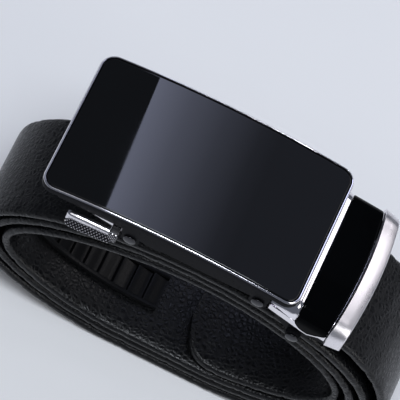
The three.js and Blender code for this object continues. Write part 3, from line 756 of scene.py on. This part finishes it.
# Pins: a rod with a low domed head at each end
def make_pin(name, node_name, sides=32):
    low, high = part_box(node_name)
    middle = (low + high) / 2
    reach = (high.y - low.y) / 2 / MM
    neck = reach - PIN_HEAD_HEIGHT
    dome_end, dome_steps = math.radians(86), 7
    half = [(PIN_RADIUS, neck - 0.01), (PIN_HEAD_RADIUS - PIN_HEAD_EDGE, neck),
            (PIN_HEAD_RADIUS, neck + PIN_HEAD_EDGE)]
    for angle in spaced(0, dome_end, dome_steps):
        height = mix(PIN_DOME_BASE, 1, math.sin(angle)) * PIN_HEAD_HEIGHT
        half.append((PIN_HEAD_RADIUS * math.cos(angle), neck + height))
    profile = [(r, -y) for r, y in reversed(half)] + half
    rings = []
    for radius, y in profile:
        ring = []
        for i in range(sides):
            angle = 2 * math.pi * i / sides
            offset = Vector((radius * math.cos(angle), y, radius * math.sin(angle)))
            ring.append(middle + offset * MM)
        rings.append(ring)
    pin = skin(name, rings, RIVET_DARK_REFLECTION, sharp=40)
    return dress(pin, "belt", "chrome", node_name)


# Release lever
def tab_point(part, around):
    """A point of the thumb tab: part along it, around its section from the wall side over the top."""
    drop = lookup(TAB_DROPS, part) * TAB_DROP
    tall = lookup(TAB_HEIGHTS, part) * TAB_HEIGHT
    full = lookup(TAB_FULLNESS, part)
    top = CHANNEL_FLOOR - TAB_UNDER_FLOOR - drop
    inner = -WALL_OUTER - 2 * GAP
    last = len(TAB_SECTION) - 1
    y_share = lookup([(i / last, y) for i, (y, _) in enumerate(TAB_SECTION)], around)
    z_share = lookup([(i / last, z) for i, (_, z) in enumerate(TAB_SECTION)], around)
    return inner - y_share * TAB_WIDTH * full, top + z_share * tall


def triangle_wave(x):
    return 1 - abs((x % 1) * 2 - 1)


def knurl_at(x, z, left, right, top):
    """Height of the diamond knurl on the tab's near face (mm)."""
    plain, full = 0.5, 0.9
    a = x / KNURL_PITCH + z / (2 * KNURL_ROW)
    b = x / KNURL_PITCH - z / (2 * KNURL_ROW)
    inside = smoothstep(x, left + plain, left + full) * (1 - smoothstep(x, right - full, right - plain))
    return KNURL_DEPTH * min(triangle_wave(a), triangle_wave(b)) * inside * top


def make_tab(left, right):
    """The thumb tab, knurled on its slanted near face."""
    knurl_sink, face_edge = 0.12, 0.1
    arounds = spaced(0, KNURL_START, 18)
    arounds += spaced(KNURL_START, KNURL_END, 36)[1:]
    arounds += spaced(KNURL_END, 1, 10)[1:]
    rings = []
    for x in spaced(left, right, TAB_STEPS):
        part = (x - left) / TAB_LENGTH
        ring = []
        for around in arounds:
            y, z = tab_point(part, around)
            share = clamp01((around - KNURL_START) / (KNURL_END - KNURL_START))
            face = smoothstep(share, 0, face_edge) * (1 - smoothstep(share, 1 - face_edge, 1))
            ring.append(place(x, y + knurl_sink * face - knurl_at(x, z, left, right, face), z))
        rings.append(ring)
    return skin("lever_tab", rings, KNURLED, sharp=50)


def make_arm(tab_end, half):
    """The arm from the tab's end in to the pawl plate."""
    start = tab_end - ARM_INTO_TAB
    near = -WALL_OUTER - 2 * GAP - TAB_WIDTH * 0.75
    far = -half + 4
    low = CHANNEL_FLOOR - TAB_UNDER_FLOOR - TAB_HEIGHT * 0.72
    high = CHANNEL_FLOOR + 0.1
    return rounded_block("lever_arm", (start, start + ARM_LENGTH), (near, far), (low, high), 0.35)


def round_outline(x, z, radius, sides):
    angles = spaced(0, 2 * math.pi, sides)[:-1]
    return [(x + radius * math.cos(angle), z + radius * math.sin(angle)) for angle in angles]


def make_lever():
    left = LEVER_PIN_X - TAB_REACH
    right = left + TAB_LENGTH
    tab = make_tab(left, right)
    half = WALL_INNER - GAP
    arm = make_arm(right, half)
    pawl_top = CHANNEL_FLOOR - GAP
    tip = LEVER_PIN_X - PAWL_REACH
    behind_tooth = pawl_top - 0.9
    outline = [(tip, pawl_top - 0.2), (tip + 2.4, pawl_top), (tip + 3.2, behind_tooth),
               (LEVER_PIN_X, behind_tooth), (LEVER_PIN_X, -PIN_DEPTH - BARREL_RADIUS),
               (tip + 0.6, pawl_top - PAWL_THICKNESS)]
    soft = 0.2
    pawl = prism("lever_pawl", outline, (-half, half), KNURLED, soft)
    barrel_outline = round_outline(LEVER_PIN_X, -PIN_DEPTH, BARREL_RADIUS, 40)
    barrel = prism("lever_barrel", barrel_outline, (-half, half), SATIN, soft)
    bore_outline = round_outline(LEVER_PIN_X, -PIN_DEPTH, PIN_RADIUS + GAP, 32)
    bore = prism("lever_bore", bore_outline, (-half - 1, half + 1), SATIN, 0)
    lever = combine(pawl, [(barrel, "UNION"), (bore, "DIFFERENCE"), (arm, "UNION"), (tab, "UNION")])
    lever.name = "knurled_lever"
    return dress(lever, "lever", "satin_chrome", "release_lever")


def prism(name, outline, across, material, soft):
    """A side outline of (x, z) points drawn out across the strap, its edges softened."""
    rings = [[place(x, y, z) for x, z in outline] for y in across]
    made = skin(name, rings, material, sharp=30)
    soften(made, soft)
    return made


def rounded_block(name, xs, ys, zs, soft):
    outline = [(xs[0], zs[0]), (xs[1], zs[0]), (xs[1], zs[1]), (xs[0], zs[1])]
    return prism(name, outline, ys, SATIN, soft)


def soften(made, radius):
    if not radius:
        return
    bevel = made.modifiers.new("soft_edges", "BEVEL")
    bevel.width = radius * MM
    bevel.segments = 3
    bevel.limit_method = "ANGLE"
    bevel.angle_limit = math.radians(35)
    apply_modifiers(made)


def apply_modifiers(made):
    graph = bpy.context.evaluated_depsgraph_get()
    graph.update()
    mesh = bpy.data.meshes.new_from_object(made.evaluated_get(graph))
    made.modifiers.clear()
    made.data = mesh


def combine(base, steps):
    for tool, operation in steps:
        cut = base.modifiers.new("join", "BOOLEAN")
        cut.object = tool
        cut.operation = operation
        cut.solver = "EXACT"
        apply_modifiers(base)
        bpy.data.objects.remove(tool)
    base.data.set_sharp_from_angle(angle=math.radians(SHARP_ANGLE))
    return base


# Clamp end: sections along x, each an arch of points from the near foot to the far foot
COVER_HALF = width_of("clamp_cover", 1) / 2
COVER_START = FACE_LENGTH / 2 - COVER_UNDER_FACE
COVER_LIP = FACE_LENGTH / 2 + LIP_LENGTH
BAND_START = CLAMP_END - BAND_LENGTH
FOOT_TABLE = [(0, 0.66), (0.09, 0.735), (0.49, 0.985), (0.56, 1), (0.7, 0.8), (1, 0.845)]
PANEL_SEAT = -PANEL_THICKNESS - GAP


def along_cover(x):
    return clamp01((x - COVER_START) / (CLAMP_END - COVER_START))


def cover_top_at(x):
    face_end = FACE_LENGTH / 2
    under_end = face_rise(face_end) - FACE_THICKNESS - COVER_DROP
    fallen = along_cover(x) ** COVER_SLOPE_POWER - along_cover(face_end) ** COVER_SLOPE_POWER
    return under_end - COVER_SLOPE * fallen


def foot_at(x):
    return cover_top_at(x) - COVER_HEIGHT * lookup(FOOT_TABLE, along_cover(x))


def panel_foot_at(x):
    """The panel's lower edge, rounded up where it meets the lip and the band by nearly a quarter
    round, of which PANEL_CORNER_SHARE is built."""
    lift = 0.0
    for from_end in (x - COVER_LIP, BAND_START - GAP - x):
        over = clamp01(1 - from_end / PANEL_CORNER)
        lift += PANEL_CORNER * (1 - math.sqrt(1 - (over * PANEL_CORNER_SHARE) ** 2))
    return foot_at(x) + PANEL_REVEAL + lift


def arch_half(x, rise, feet):
    """From a foot up to the crown: points at the given foot heights, the shoulder, then the crown."""
    half = COVER_HALF + rise
    top = cover_top_at(x) + rise
    shoulder = COVER_SHOULDER + rise
    side = [(half, foot) for foot in feet]
    for i in range(SHOULDER_STEPS + 1):
        angle = math.pi / 2 * i / SHOULDER_STEPS
        side.append((half - shoulder + shoulder * math.cos(angle),
                     top - COVER_CROWN - shoulder * (1 - math.sin(angle))))
    for share in spaced(1, 0, CROWN_STEPS)[1:]:
        side.append((share * (half - shoulder), top - COVER_CROWN * share ** 2))
    return side


def arch_points(x, halves):
    """Both halves of an arch, bowed out along x towards the mouth."""
    bulge = MOUTH_BULGE * smoothstep(x, COVER_LIP, BAND_START)
    whole = [(-y, z) for y, z in halves] + [(y, z) for y, z in reversed(halves[:-1])]
    return [place(x + bulge * (1 - (y / COVER_HALF) ** 2), y, z) for y, z in whole]


def arch(x, rise, feet):
    return arch_points(x, arch_half(x, rise, feet))


def cover_ring(x, sunk):
    """Cover section: at full height on its lip and chin, sunk under the panel between them."""
    foot, chin = foot_at(x), panel_foot_at(x)
    inner = arch(x, PANEL_SEAT - COVER_WALL, [foot, mix(foot, chin, 0.5), chin])
    outer_half = arch_half(x, 0, [foot, chin - 0.02])[:2]
    lip = LIP_TILT * (0.5 - smoothstep(x, COVER_LIP - LIP_LENGTH, COVER_LIP))
    outer_half += arch_half(x, PANEL_SEAT if sunk else lip, [chin])
    return arch_points(x, outer_half) + list(reversed(inner))


def make_cover():
    panel_step = 0.03
    xs_lip = spaced(COVER_START, COVER_LIP, 24)
    xs_panel = spaced(COVER_LIP + panel_step, BAND_START - GAP, 30)
    rings = [cover_ring(x, False) for x in xs_lip] + [cover_ring(x, True) for x in xs_panel]
    cover = skin("cover_shell", rings, CHROME, ladder=True)
    dress(cover, "belt", "chrome", "clamp_cover")


def make_panel():
    soft = 0.18
    sunk = 0.1
    xs = spaced(COVER_LIP + GAP, BAND_START - GAP - sunk, 30)
    rings = []
    for i, x in enumerate(xs):
        edge = -soft if i in (0, len(xs) - 1) else 0
        foot = panel_foot_at(x) + GAP
        outer = arch(x, edge - sunk, [foot, foot + soft])
        inner = arch(x, -PANEL_THICKNESS, [foot, foot + soft])
        rings.append(outer + list(reversed(inner)))
    panel = skin("cover_inlay", rings, PANEL_GLOSS, ladder=True)
    dress(panel, "belt", "black_glass", "clamp_panel")


def make_band():
    """The satin band at the mouth: its profile is the rise at each x, with softened ends."""
    high, low = BAND_PROUD + BAND_TILT / 2, BAND_PROUD - BAND_TILT / 2
    profile = [(BAND_START, high - 0.5), (BAND_START + 0.1, high - 0.2), (BAND_START + 0.3, high),
               (mix(BAND_START, CLAMP_END, 0.5), BAND_PROUD),
               (CLAMP_END - 0.4, low), (CLAMP_END - 0.12, low - 0.12), (CLAMP_END, low - 0.35)]
    hem = 0.5
    rings = []
    for x, rise in profile:
        foot = foot_at(x)
        outer = arch(x, rise, [foot, foot + hem])
        inner = arch(x, PANEL_SEAT - COVER_WALL, [foot, foot + hem])
        rings.append(outer + list(reversed(inner)))
    band = skin("mouth_band", rings, SATIN, ladder=True)
    dress(band, "belt", "satin_chrome", "clamp_band")


# Castings that keep their frame shape and get their finish
def finish_castings():
    for name in ("buckle_frame", "clamp_frame", "clamp_jaw"):
        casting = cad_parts[name]
        casting.data.materials.clear()
        casting.data.materials.append(DARK_CASTING_AND_REFLECTION)


# Floor, camera and lights
def make_floor():
    reach = FLOOR_SIDE / 2
    corners = [(-reach, -reach, 0), (reach, -reach, 0), (reach, reach, 0), (-reach, reach, 0)]
    floor = make_object("floor", corners, [(0, 1, 2, 3)], floor_material())


def make_camera():
    elevation, roll = math.radians(CAMERA_ELEVATION), math.radians(CAMERA_ROLL)
    back = Vector((0, -math.cos(elevation), math.sin(elevation)))
    level = Vector((1, 0, 0))
    tall = back.cross(level)
    right = level * math.cos(roll) + tall * math.sin(roll)
    up = tall * math.cos(roll) - level * math.sin(roll)
    data = bpy.data.cameras.new("camera")
    pixels_per_radian = PIXELS_PER_MM * CAMERA_DISTANCE / MM
    data.lens = pixels_per_radian / IMAGE_SIDE * SENSOR
    data.sensor_width = SENSOR
    data.shift_x = (IMAGE_SIDE / 2 - AIM_PIXEL[0]) / IMAGE_SIDE
    data.shift_y = (AIM_PIXEL[1] - IMAGE_SIDE / 2) / IMAGE_SIDE
    camera = bpy.data.objects.new("camera", data)
    turned = Matrix((right, up, back)).transposed().to_4x4()
    camera.matrix_world = Matrix.Translation(place(AIM_X, 0, 0) + back * CAMERA_DISTANCE) @ turned
    bpy.context.scene.collection.objects.link(camera)
    bpy.context.scene.camera = camera
    return camera


def softbox(name, at, aim, size, radiance, colour=(1, 1, 1), right=None):
    """A rectangular light at a place, facing a point, as bright as its radiance says."""
    data = bpy.data.lights.new(name, "AREA")
    data.shape = "RECTANGLE"
    data.size, data.size_y = size
    data.color = colour
    data.energy = radiance * math.pi * size[0] * size[1]
    light = bpy.data.objects.new(name, data)
    away = (Vector(at) - Vector(aim)).normalized()
    across = Vector(right) if right is not None else Vector((0, 0, 1)).cross(away)
    across = (across - away * across.dot(away)).normalized()
    turned = Matrix((across, away.cross(across), away)).transposed().to_4x4()
    light.matrix_world = Matrix.Translation(at) @ turned
    light.visible_camera = False
    bpy.context.scene.collection.objects.link(light)
    return light


def mirrored_ray(eye, x, y):
    """Where the face's arch sends a ray from the eye to a place on it."""
    at = place(x, y, face_rise(x))
    normal = Vector((x, 0, math.sqrt(FACE_ARCH_RADIUS ** 2 - x ** 2))) / FACE_ARCH_RADIUS
    ray = (at - eye).normalized()
    return at, ray - normal * 2 * ray.dot(normal)


def face_softbox(camera):
    """The softbox that the face mirrors. Its left edge falls on a line across the face, its right
    edge past the face's end, and it fades to the right."""
    eye = camera.matrix_world.translation
    aimed_x = 5
    middle_at, away = mirrored_ray(eye, aimed_x, 0)
    reached = []
    for x, y in SOFTBOX_ON_FACE:
        at, ray = mirrored_ray(eye, x, y)
        behind = FACE_SOFTBOX_DISTANCE - (at - middle_at).dot(away)
        reached.append(at + ray * (behind / ray.dot(away)))
    far, near, end = reached
    edge = (far - near).normalized()
    across = (end - near) - edge * (end - near).dot(edge)
    width = across.length
    across.normalize()
    at = (far + near) / 2 + across * width / 2
    size = (width, FACE_SOFTBOX_HEIGHT)
    light = softbox("softbox_face", at, at - away, size, FACE_SHINE, FACE_SOFTBOX_COLOUR, across)
    fade(light.data)


def fade(data):
    """Bright by the softbox's left edge, falling off to the right."""
    data.use_nodes = True
    tree = data.node_tree
    on_light = node(tree, "ShaderNodeNewGeometry").outputs["Parametric"]
    part = node(tree, "ShaderNodeSeparateXYZ", {0: on_light})
    ramp = node(tree, "ShaderNodeValToRGB", {"Fac": part.outputs["X"]})
    stops = ramp.color_ramp.elements
    while len(stops) < len(FACE_FADE):
        stops.new(0.5)
    for stop, (along, share) in zip(stops, FACE_FADE):
        stop.position = along
        stop.color = (share, share, share, 1)
    tree.links.new(ramp.outputs["Color"], tree.nodes["Emission"].inputs["Strength"])


def make_lights(camera):
    aim = ORIGIN
    face_softbox(camera)
    softbox("softbox_clamp", aim + Vector((0.6, 0.44, 0.67)), aim, (0.28, 0.7), 2.2, (1.0, 0.97, 1.0),
            (1, 0, 0))
    softbox("softbox_key", aim + Vector((-0.45, -0.75, 1.35)), aim, (1.1, 0.8), 0.9)
    softbox("softbox_edge", aim + Vector((0.05, -0.28, 1.2)), aim, (0.6, 0.4), 15.0, (0.88, 0.93, 1.0))
    softbox("softbox_side", aim + Vector((1.3, -0.5, 0.6)), aim, (0.7, 0.9), 3.0)
    world = bpy.data.worlds.new("world")
    world.use_nodes = True
    world.node_tree.nodes["Background"].inputs["Color"].default_value = WORLD_COLOUR
    bpy.context.scene.world = world


camera = make_camera()
make_strap()
make_track()
make_face()
make_pin("lever_rivet", "lever_pin")
make_pin("hinge_rivet", "hinge_pin")
make_pin("jaw_rivet", "clamp_pin")
make_lever()
make_cover()
make_panel()
make_band()
finish_castings()
make_floor()
make_lights(camera)
bpy.context.scene.view_settings.view_transform = "Standard"
